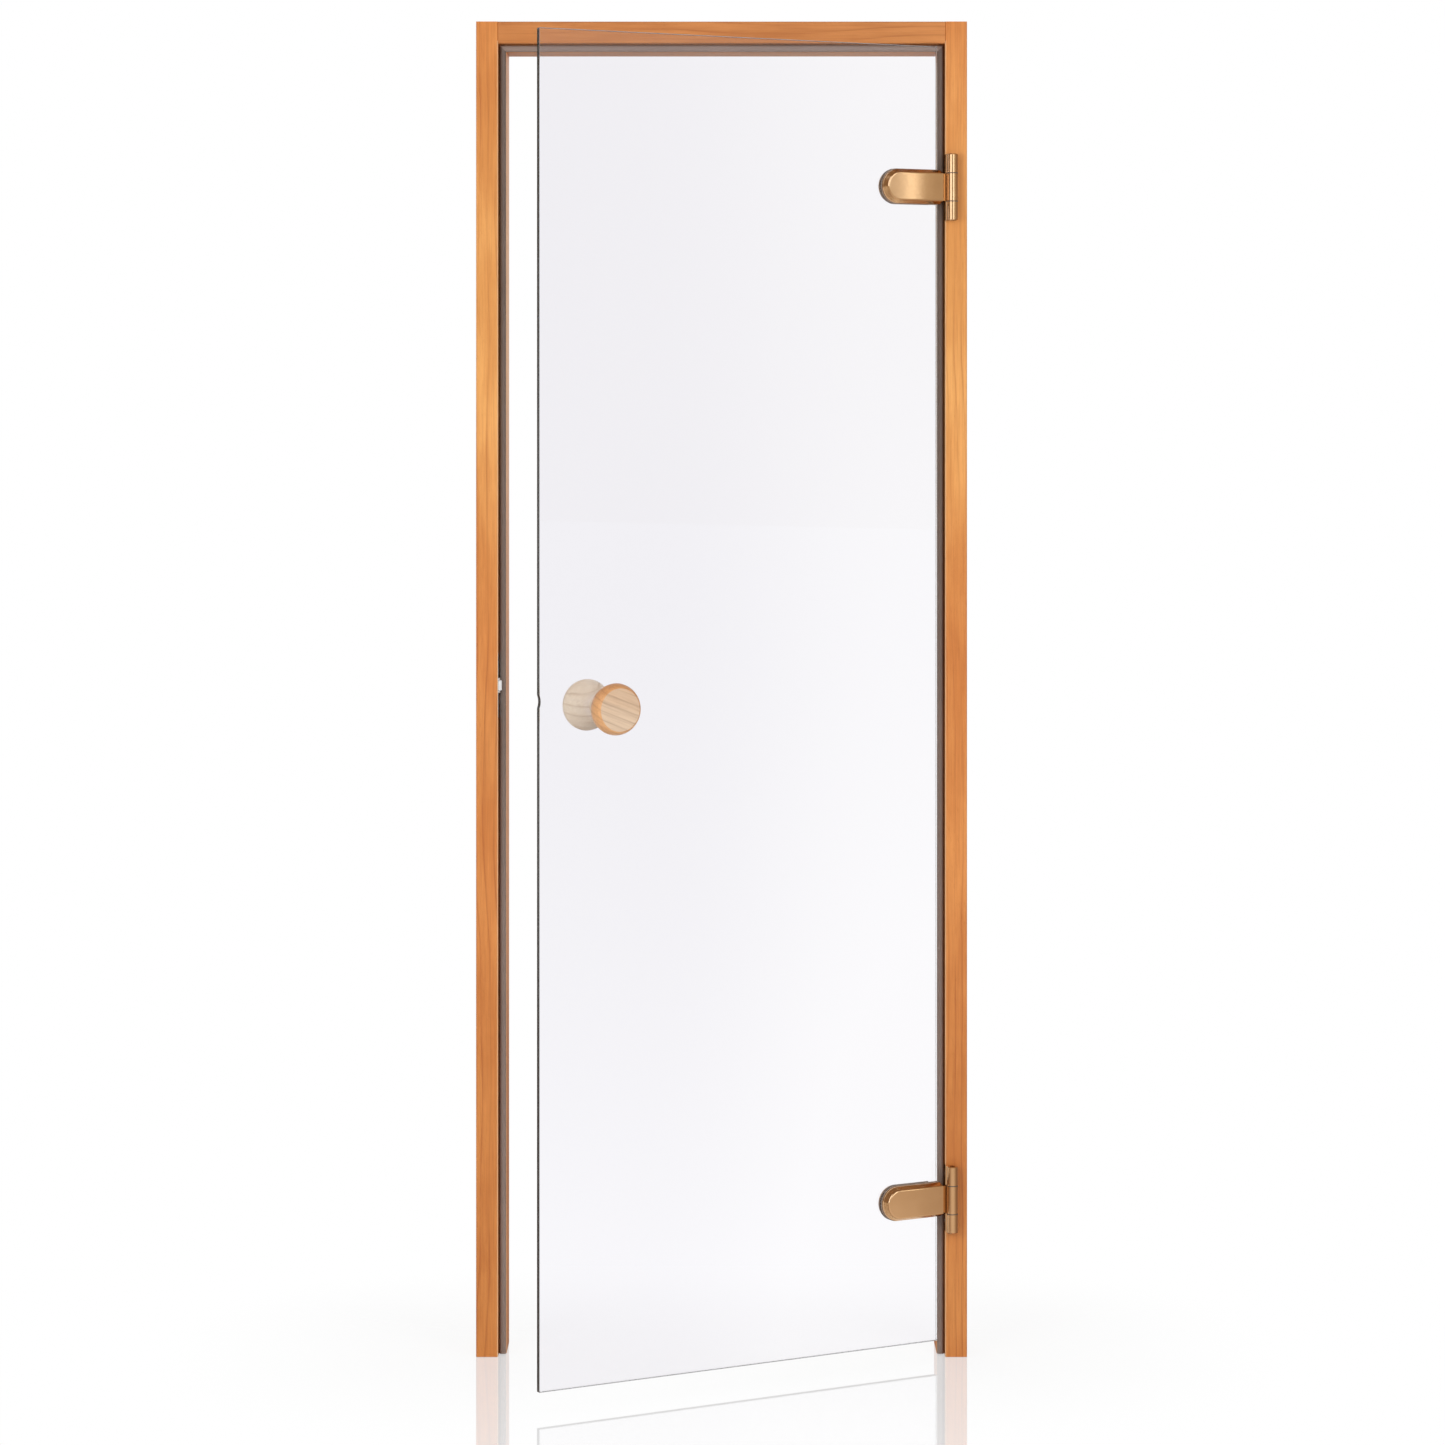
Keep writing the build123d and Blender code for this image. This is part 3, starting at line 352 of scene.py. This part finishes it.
def metal_group():
    """Satin metal: a tint that drifts, fine blasting marks, faint rubbing and a pressed face's sway."""
    tree, given, result = new_group(
        "satin_metal",
        [
            ("Vector", "NodeSocketVector"),
            ("Base", "NodeSocketColor"),
            ("Warm", "NodeSocketColor"),
            ("Satin", "NodeSocketFloat"),
        ],
        [("Color", "NodeSocketColor"), ("Roughness", "NodeSocketFloat"), ("Height", "NodeSocketFloat")],
    )
    vector = given.outputs["Vector"]
    drift = stepped(tree, noise(tree, vector, (1, 1, 1), 18.0, 2.0), 0.3, 0.7)
    grain = noise(tree, vector, (1, 1, 1), 2600.0, 2.0, 0.6)
    marks = stepped(tree, noise(tree, vector, (1, 1, 1), 120.0, 4.0, 0.7), 0.58, 0.75)
    sway = noise(tree, vector, (1, 1, 0.6), 14.0, 0.0)
    colour = blend_colour(tree, drift, given.outputs["Base"], given.outputs["Warm"])
    rough = maths(tree, "ADD", given.outputs["Satin"], maths(tree, "MULTIPLY", grain, 0.05))
    rough = maths(tree, "ADD", rough, maths(tree, "MULTIPLY", marks, 0.03))
    height = maths(tree, "ADD", sway, maths(tree, "MULTIPLY", grain, 0.02))
    tree.links.new(colour, result.inputs["Color"])
    tree.links.new(rough, result.inputs["Roughness"])
    tree.links.new(height, result.inputs["Height"])
    return tree


satin_metal = metal_group()


def metal_material(name, base, warm, satin):
    """A satin metal with its own colours and roughness."""
    material, tree, shader = new_material(name)
    place = put(tree, "ShaderNodeTexCoord").outputs["Object"]
    props = {"node_tree": satin_metal}
    metal = put(tree, "ShaderNodeGroup", props, Vector=place, Base=base, Warm=warm, Satin=satin)
    tree.links.new(metal.outputs["Color"], shader.inputs["Base Color"])
    tree.links.new(metal.outputs["Roughness"], shader.inputs["Roughness"])
    bumped(tree, shader, metal.outputs["Height"], 0.0005)
    shader.inputs["Metallic"].default_value = 1.0
    return material


def matt_material(name, dark, pale, roughness):
    """A matt elastic or plastic surface with a fine uneven skin."""
    material, tree, shader = new_material(name)
    place = put(tree, "ShaderNodeTexCoord").outputs["Object"]
    skin = noise(tree, place, (1, 1, 1), 700.0, 3.0, 0.6)
    drift = stepped(tree, noise(tree, place, (1, 1, 1), 60.0, 2.0), 0.3, 0.7)
    sheen = stepped(tree, skin, 0.3, 0.7, roughness - 0.08, roughness + 0.08)
    tree.links.new(blend_colour(tree, drift, dark, pale), shader.inputs["Base Color"])
    tree.links.new(sheen, shader.inputs["Roughness"])
    bumped(tree, shader, skin, 0.00006)
    return material


bronze = metal_material("satin_bronze", BRONZE, WARM_BRONZE, 0.12)
pressed_bronze = metal_material("pressed_bronze", BRONZE, WARM_BRONZE, 0.1)
for lacquered in (bronze, pressed_bronze):
    shader = lacquered.node_tree.nodes["Principled BSDF"]
    shader.inputs["Coat Weight"].default_value = 0.3
    shader.inputs["Coat Roughness"].default_value = 0.15
screw_steel = metal_material("screw_steel", (0.52, 0.5, 0.47, 1), (0.6, 0.57, 0.53, 1), 0.2)
pad_rubber = matt_material("pad_rubber", (0.26, 0.2, 0.16, 1), (0.34, 0.265, 0.215, 1), 0.6)
bearing_plastic = matt_material(
    "bearing_plastic", (0.05, 0.038, 0.03, 1), (0.075, 0.06, 0.05, 1), 0.45
)

# The covers' pressed faces are crowned along the leaf and lean a little towards their tips.
COVER_CROWN_RADIUS = 0.764
COVER_CROWN_FROM_AXIS = -0.053
tree = pressed_bronze.node_tree
skin_bump = next(n for n in tree.nodes if n.type == "BUMP")
place = put(tree, "ShaderNodeTexCoord").outputs["Object"]
from_axis = vector_maths(tree, "SUBTRACT", place, hinge_axis)
along = vector_maths(tree, "DOT_PRODUCT", from_axis, leaf_across)
from_crown = maths(tree, "ADD", along, COVER_CROWN_FROM_AXIS)
fall = maths(tree, "MULTIPLY", from_crown, from_crown)
fall = maths(tree, "MULTIPLY", fall, -0.5 / COVER_CROWN_RADIUS)
crown = put(tree, "ShaderNodeBump", Strength=1.0, Distance=1.0, Height=fall)
tree.links.new(crown.outputs[0], skin_bump.inputs["Normal"])


def turned_body(profile, segments):
    """A solid spun about Z from a list of radius and height, as a bmesh."""
    bm = bmesh.new()
    line = [bm.verts.new((radius, 0, z)) for radius, z in profile]
    geom = line + [bm.edges.new(pair) for pair in zip(line, line[1:])]
    spin = {"cent": (0, 0, 0), "axis": (0, 0, 1), "angle": math.tau, "steps": segments}
    bmesh.ops.spin(bm, geom=geom, use_merge=True, **spin)
    bmesh.ops.remove_doubles(bm, verts=bm.verts, dist=1e-7)
    bmesh.ops.recalc_face_normals(bm, faces=bm.faces)
    return bm


def as_object(bm, name, material, smooth_angle=35):
    """Finishes a bmesh as an object, smooth up to an angle in degrees."""
    mesh = bpy.data.meshes.new(name)
    bm.to_mesh(mesh)
    bm.free()
    mesh.polygons.foreach_set("use_smooth", [True] * len(mesh.polygons))
    mesh.set_sharp_from_angle(angle=math.radians(smooth_angle))
    obj = bpy.data.objects.new(name, mesh)
    bpy.context.scene.collection.objects.link(obj)
    obj.data.materials.append(material)
    return obj


def cut_out(obj, cutter):
    """Takes one closed shape out of another and keeps the result as plain mesh."""
    modifier = obj.modifiers.new("recess", "BOOLEAN")
    modifier.operation = "DIFFERENCE"
    modifier.object = cutter
    modifier.solver = "EXACT"
    graph = bpy.context.evaluated_depsgraph_get()
    mesh = bpy.data.meshes.new_from_object(obj.evaluated_get(graph))
    obj.modifiers.clear()
    old = obj.data
    obj.data = mesh
    bpy.data.meshes.remove(old)
    bpy.data.objects.remove(cutter)


def cross_recess(width, across, depth):
    """The two tapered bars of a cross, the shape that a screwdriver's tip leaves."""
    bars = []
    for turn in (0, 90):
        bm = bmesh.new()
        bmesh.ops.create_cube(bm, size=1.0)
        bmesh.ops.scale(bm, vec=(across, width, 2 * depth), verts=bm.verts)
        low = [v for v in bm.verts if v.co.z < 0]
        bmesh.ops.scale(bm, vec=(0.35, 0.8, 1), verts=low)
        turned = Matrix.Rotation(math.radians(turn), 3, "Z")
        bmesh.ops.rotate(bm, cent=(0, 0, 0), matrix=turned, verts=bm.verts)
        bars.append(bm)
    return bars


def hexagon_recess(across, depth):
    """A hexagon socket."""
    bm = bmesh.new()
    corner = across / math.sqrt(3)
    size = {"radius1": corner, "radius2": corner, "depth": 2 * depth}
    bmesh.ops.create_cone(bm, cap_ends=True, segments=6, **size)
    return [bm]


# Each kind of screw: shank radius, head radius, length, recess and the recess's own sizes.
WOOD_SCREW = (0.002, 0.004, 0.024, cross_recess, (0.0011, 0.0046, 0.0022))
CLAMP_SCREW = (0.003, 0.0056, 0.02, hexagon_recess, (0.004, 0.0026))
WOOD_SCREW_HEAD = WOOD_SCREW[1]
SCREW_RIM = 0.0002
SCREW_POINT = 0.002
TURN_BETWEEN_SCREWS = 37
CLAMP_SCREWS_FROM_AXIS = (0.082, 0.044)
CLAMP_FACE_BEHIND_AXIS = 0.0315


def countersunk_screws(name, kind, starts, inward, turn):
    """Countersunk screws with a driver's recess, set in at the given points along one direction."""
    radius, head, length, recess, recess_size = kind
    profile = [
        (0, 0),
        (head - SCREW_RIM, 0),
        (head, -SCREW_RIM),
        (radius, -(head - radius) - SCREW_RIM),
        (radius, SCREW_POINT - length),
        (0, -length),
    ]
    whole = bmesh.new()
    aim = (-inward).to_track_quat("Z", "Y").to_matrix().to_4x4()
    for number, start in enumerate(starts):
        screw = as_object(turned_body(profile, 32), "screw_blank", screw_steel)
        for shape in recess(*recess_size):
            cut_out(screw, as_object(shape, "screw_recess", screw_steel))
        spin = Matrix.Rotation(math.radians(turn + TURN_BETWEEN_SCREWS * number), 4, "Z")
        screw.data.transform(Matrix.Translation(start) @ aim @ spin)
        whole.from_mesh(screw.data)
        bpy.data.objects.remove(screw)
    return as_object(whole, name, screw_steel, 30)


for place in ("upper", "lower"):
    dress(bronze, f"{place}_hinge_leaf", f"{place}_hinge_arm", f"{place}_hinge_back_plate")
    dress(pressed_bronze, f"{place}_hinge_cover")
    dress(pad_rubber, f"{place}_hinge_outer_pad", f"{place}_hinge_inner_pad")
    dress(bearing_plastic, f"{place}_hinge_washers")
    dress(screw_steel, f"{place}_hinge_pin")
    low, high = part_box(f"{place}_hinge_leaf_screws")
    middle, reach = (low + high) / 2, (high.z - low.z) / 2 - WOOD_SCREW_HEAD
    starts = [Vector((low.x, middle.y, middle.z + step * reach)) for step in (-1, 0, 1)]
    screws = countersunk_screws(f"{place}_leaf_screws", WOOD_SCREW, starts, Vector((1, 0, 0)), 12)
    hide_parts(f"{place}_hinge_leaf_screws")
    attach(screws, "frame")
    plate_low, plate_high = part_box(f"{place}_hinge_back_plate")
    height = (plate_low.z + plate_high.z) / 2
    starts = []
    for along in CLAMP_SCREWS_FROM_AXIS:
        at = hinge_axis - leaf_across * along - leaf_outward * CLAMP_FACE_BEHIND_AXIS
        starts.append(Vector((at.x, at.y, height)))
    screws = countersunk_screws(f"{place}_clamp_screws", CLAMP_SCREW, starts, leaf_outward, 5)
    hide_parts(f"{place}_hinge_clamp_screws")
    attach(screws, "door")

# The knobs: a pair turned from pale wood with the grain across the face, sanded and oiled,
# drawn together through the glass by one threaded rod over soft washers.
KNOB_SIDE = ((0.78, 0.42, 0.19, 1), (0.69, 0.32, 0.125, 1), (0.3, 0.12, 0.05, 1))
# The inner knob: the same wood as the outer one, painted much paler as light.
INNER_KNOB_PAINTED_PALER = ((0.97, 0.85, 0.66, 1), (0.93, 0.78, 0.58, 1), (0.62, 0.45, 0.29, 1))
# How much paler each knob's face is painted than its sides, as a sheen of light.
KNOB_FACE_PAINTED_SHEEN = (0.95, 1.32, 2.05, 1)
INNER_KNOB_FACE_PAINTED_SHEEN = (1.0, 1.03, 1.15, 1)
KNOB_RING = 0.0105
KNOB_FIGURE = 0.85
KNOB_COAT = 0.2


def knob_turn(slope):
    """Brings a grain that slopes across the knob's face on to the pattern's Z axis."""
    grain = leaf_across * math.cos(slope) - Vector((0, 0, 1)) * math.sin(slope)
    across = leaf_outward.cross(grain)
    return Matrix((across, leaf_outward, grain)).to_euler("XYZ")


for name, slope, shift, knob_colours, face_sheen in (
    ("outer_knob", 0.38, 0.2, KNOB_SIDE, KNOB_FACE_PAINTED_SHEEN),
    ("inner_knob", -0.3, 0.7, INNER_KNOB_PAINTED_PALER, INNER_KNOB_FACE_PAINTED_SHEEN),
):
    low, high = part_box(name)
    turn = knob_turn(slope)
    location = -(turn.to_matrix() @ ((low + high) / 2)) + Vector((0.11, 0.03, shift))
    material, tree, shader, wood = timber_material(
        f"{name}_wood", location, turn, knob_colours, KNOB_RING, KNOB_FIGURE, KNOB_COAT
    )
    normal = put(tree, "ShaderNodeTexCoord").outputs["Normal"]
    facing = vector_maths(tree, "DOT_PRODUCT", normal, leaf_outward)
    face = stepped(tree, maths(tree, "ABSOLUTE", facing), 0.75, 0.95)
    # The face painted paler than the sides, as a sheen of light.
    painted_sheen_face = blend_colour(tree, 1.0, wood, face_sheen, "MULTIPLY")
    tree.links.new(blend_colour(tree, face, wood, painted_sheen_face), shader.inputs["Base Color"])
    dress(material, name)
dress(screw_steel, "knob_bolt")
dress(pad_rubber, "knob_washers")

# The roller latch: a nylon roller on a sprung fork in a steel case, let into the left upright
# and held by two countersunk screws through its satin face plate.
latch_steel = metal_material("latch_steel", (0.66, 0.65, 0.63, 1), (0.74, 0.72, 0.69, 1), 0.22)
plate_zinc = metal_material("plate_zinc", (0.9, 0.89, 0.87, 1), (0.94, 0.93, 0.9, 1), 0.4)
nylon = matt_material("white_nylon", (0.9, 0.9, 0.88, 1), (0.95, 0.95, 0.93, 1), 0.38)
dress(plate_zinc, "latch_plate")
dress(latch_steel, "latch_slider", "latch_roller_pin")
dress(nylon, "latch_roller")
low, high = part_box("latch_plate_screws")
middle, reach = (low + high) / 2, (high.z - low.z) / 2 - WOOD_SCREW_HEAD
starts = [Vector((high.x, middle.y, middle.z + side * reach)) for side in (-1, 1)]
screws = countersunk_screws("plate_screws", WOOD_SCREW, starts, Vector((-1, 0, 0)), 48)
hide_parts("latch_plate_screws")
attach(screws, "frame")

# The studio: a white floor that runs out to a white background. In front of the frame it is
# polished, so the feet have a faint mirror image that fades out, and it keeps their soft shadow.
FLOOR_MIDDLE = Vector((FRAME_MIDDLE, 0, 0))
FLOOR_HALF_SIZE = 30
FLOOR_UNDER_FEET = 0.0004
FRAME_HALF_SIZE = (0.3475, 0.046, 0)
FLOOR_BEFORE = (0.97, 0.93, 0.95, 1)
FLOOR_BEYOND = (0.38, 0.28, 0.22, 1)
HORIZON = (0.68, 0.62, 0.56, 1)
bm = bmesh.new()
bmesh.ops.create_grid(bm, x_segments=1, y_segments=1, size=FLOOR_HALF_SIZE)
bmesh.ops.translate(bm, vec=FLOOR_MIDDLE - Vector((0, 0, FLOOR_UNDER_FEET)), verts=bm.verts)
floor_material, tree, shader = new_material("studio_floor")
place = put(tree, "ShaderNodeTexCoord").outputs["Object"]
outside = vector_maths(tree, "SUBTRACT", place, FLOOR_MIDDLE)
outside = vector_maths(tree, "ABSOLUTE", outside)
outside = vector_maths(tree, "SUBTRACT", outside, FRAME_HALF_SIZE)
outside = vector_maths(tree, "MAXIMUM", outside)
distance = vector_maths(tree, "LENGTH", outside)
cloud = noise(tree, place, (1, 1, 1), 3.0, 3.0)
paint = blend_colour(tree, cloud, (0.86, 0.86, 0.86, 1), (0.9, 0.9, 0.9, 1))
tree.links.new(paint, shader.inputs["Base Color"])
shader.inputs["Roughness"].default_value = 0.8
shader.inputs["Specular IOR Level"].default_value = 0.0
path = put(tree, "ShaderNodeLightPath").outputs
plain = maths(tree, "ADD", path["Is Camera Ray"], path["Is Transmission Ray"], clamp=True)
seen = maths(tree, "ADD", plain, path["Is Glossy Ray"], clamp=True)
spot = put(tree, "ShaderNodeSeparateXYZ", Vector=place).outputs
heading = maths(tree, "ARCTAN2", spot["X"], maths(tree, "MULTIPLY", spot["Y"], -1.0))
heading = maths(tree, "DEGREES", heading)
heading = maths(tree, "MAXIMUM", heading, maths(tree, "MULTIPLY", heading, -1.2))
# The floor glows: white to the camera and through the glass, and in mirrors with painted tones, pale
# before the frame, the dim room's brown to the sides and grey towards the horizon.
shade = blend_colour(tree, stepped(tree, heading, 10.0, 85.0), FLOOR_BEFORE, FLOOR_BEYOND)
shade = blend_colour(tree, stepped(tree, distance, 1.5, 7.0), shade, HORIZON)
shade = blend_colour(tree, plain, shade, WHITE)
white = put(tree, "ShaderNodeEmission", Color=shade, Strength=1.0)
paling = maths(tree, "MULTIPLY", seen, stepped(tree, distance, 0.0, 0.5, 0.85, 1.0))
mixed = put(tree, "ShaderNodeMixShader", Fac=paling, i1=shader.outputs[0], i2=white.outputs[0])
polish = put(tree, "ShaderNodeBsdfGlossy", Color=WHITE, Roughness=0.04)
fading = stepped(tree, distance, 0.15, 1.7, 0.34, 0.0)
mirrored = maths(tree, "MULTIPLY", fading, path["Is Camera Ray"])
mirrored = maths(tree, "MULTIPLY", mirrored, stepped(tree, spot["Y"], 0.0, 0.4, 1.0, 0.0))
mixed = put(tree, "ShaderNodeMixShader", Fac=mirrored, i1=mixed.outputs[0], i2=polish.outputs[0])
tree.links.new(mixed.outputs[0], tree.nodes["Material Output"].inputs["Surface"])
floor = as_object(bm, "studio_floor", floor_material)

# The light: two upright soft boxes in front, left and right of the camera, and a larger lamp
# behind. The metal mirrors the boxes, the dim warm room between them and the white background.
# Azimuths count from the camera's side and rises from the horizon, both in degrees.
LEFT_BOX = (-50, -45, -17, -13)
RIGHT_BOX = (6, 9, 26, 32)
BOX_LIGHT = (2.6, 3.0, 3.8, 1)
DIM_ROOM = (0.38, 0.28, 0.2, 1)
PALE_SIDES = (0.8, 0.79, 0.77, 1)
RIGHT_WALL_BANDS = (
    ((40.5, 43.5, 60, 74), (0.68, 0.62, 0.56, 1)),
    ((29.5, 31.5, 39, 44.5), (1.05, 1.1, 1.25, 1)),
    ((39.9, 41.3, 42.1, 43.5), (2.9, 3.2, 3.7, 1)),
)
world = bpy.data.worlds.new("studio")
bpy.context.scene.world = world
world.use_nodes = True
tree = world.node_tree
tree.nodes.clear()
towards = put(tree, "ShaderNodeTexCoord").outputs["Generated"]
towards = put(tree, "ShaderNodeSeparateXYZ", Vector=towards).outputs
away = maths(tree, "MULTIPLY", towards["Y"], -1.0)
azimuth = maths(tree, "DEGREES", maths(tree, "ARCTAN2", towards["X"], away))
rise = maths(tree, "DEGREES", maths(tree, "ARCSINE", towards["Z"]))
ceiling = stepped(tree, rise, 38, 52, 1.0, 0.0)


def upright_band(start, full, fading, end):
    """A band of azimuths up to the ceiling that comes up and dies away between the given angles."""
    coming, going = stepped(tree, azimuth, start, full), stepped(tree, azimuth, fading, end, 1.0, 0.0)
    return maths(tree, "MULTIPLY", maths(tree, "MULTIPLY", coming, going), ceiling)


boxes = maths(tree, "ADD", upright_band(*LEFT_BOX), upright_band(*RIGHT_BOX))
around = maths(tree, "ABSOLUTE", azimuth)
sides = maths(tree, "MULTIPLY", stepped(tree, rise, 5, 9), stepped(tree, rise, 25, 40, 1.0, 0.0))
sides = maths(tree, "MULTIPLY", stepped(tree, around, 72, 95), sides)
room = blend_colour(tree, sides, DIM_ROOM, PALE_SIDES)
for angles, tone in RIGHT_WALL_BANDS:
    room = blend_colour(tree, upright_band(*angles), room, tone)
room = blend_colour(tree, boxes, room, BOX_LIGHT)
room = blend_colour(tree, stepped(tree, rise, 0.0, 2.4), HORIZON, room)
room = blend_colour(tree, stepped(tree, around, 140, 150), room, WHITE)
path = put(tree, "ShaderNodeLightPath").outputs
direct = maths(tree, "LESS_THAN", path["Glossy Depth"], 0.5)
plain = maths(tree, "MULTIPLY", path["Is Transmission Ray"], direct)
plain = maths(tree, "ADD", path["Is Camera Ray"], plain, clamp=True)
seen_room = maths(tree, "ADD", path["Is Glossy Ray"], path["Is Transmission Ray"], clamp=True)
lit = put(tree, "ShaderNodeBackground", Color=WHITE, Strength=0.4)
mirrored = put(tree, "ShaderNodeBackground", Color=room, Strength=1.0)
white = put(tree, "ShaderNodeBackground", Color=WHITE, Strength=1.0)
mixed = put(tree, "ShaderNodeMixShader", Fac=seen_room, i1=lit.outputs[0], i2=mirrored.outputs[0])
mixed = put(tree, "ShaderNodeMixShader", Fac=plain, i1=mixed.outputs[0], i2=white.outputs[0])
put(tree, "ShaderNodeOutputWorld", Surface=mixed.outputs[0])

LAMPS_AIM = Vector((FRAME_MIDDLE, 0, 1.4))
for name, position, size, power in (
    ("left_lamp", (-2.0, -2.65, 1.7), 1.5, 38),
    ("right_lamp", (1.3, -2.65, 1.7), 1.5, 36),
    ("rear_lamp", (-0.9, 3.6, 2.6), 2.4, 55),
):
    data = bpy.data.lights.new(name, "AREA")
    data.size = size
    data.energy = power
    lamp = bpy.data.objects.new(name, data)
    lamp.location = position
    lamp.rotation_euler = (LAMPS_AIM - Vector(position)).to_track_quat("-Z", "Y").to_euler()
    lamp.visible_camera = lamp.visible_glossy = lamp.visible_transmission = False
    bpy.context.scene.collection.objects.link(lamp)

# The camera stands 5.6 m in front of the frame at eye level, level, with the picture's
# middle shifted down as on a view camera, so that the uprights stay upright.
CAMERA_BEFORE_FRAME = 5.6037
CAMERA_HEIGHT = 1.3593
data = bpy.data.cameras.new("camera")
data.lens = 97.843
data.shift_x = 0.00064
data.shift_y = -0.22561
camera = bpy.data.objects.new("camera", data)
camera.location = (FRAME_MIDDLE, -CAMERA_BEFORE_FRAME, CAMERA_HEIGHT)
camera.rotation_euler = (math.pi / 2, 0, 0)
bpy.context.scene.collection.objects.link(camera)
bpy.context.scene.camera = camera
bpy.context.scene.view_settings.view_transform = "Standard"
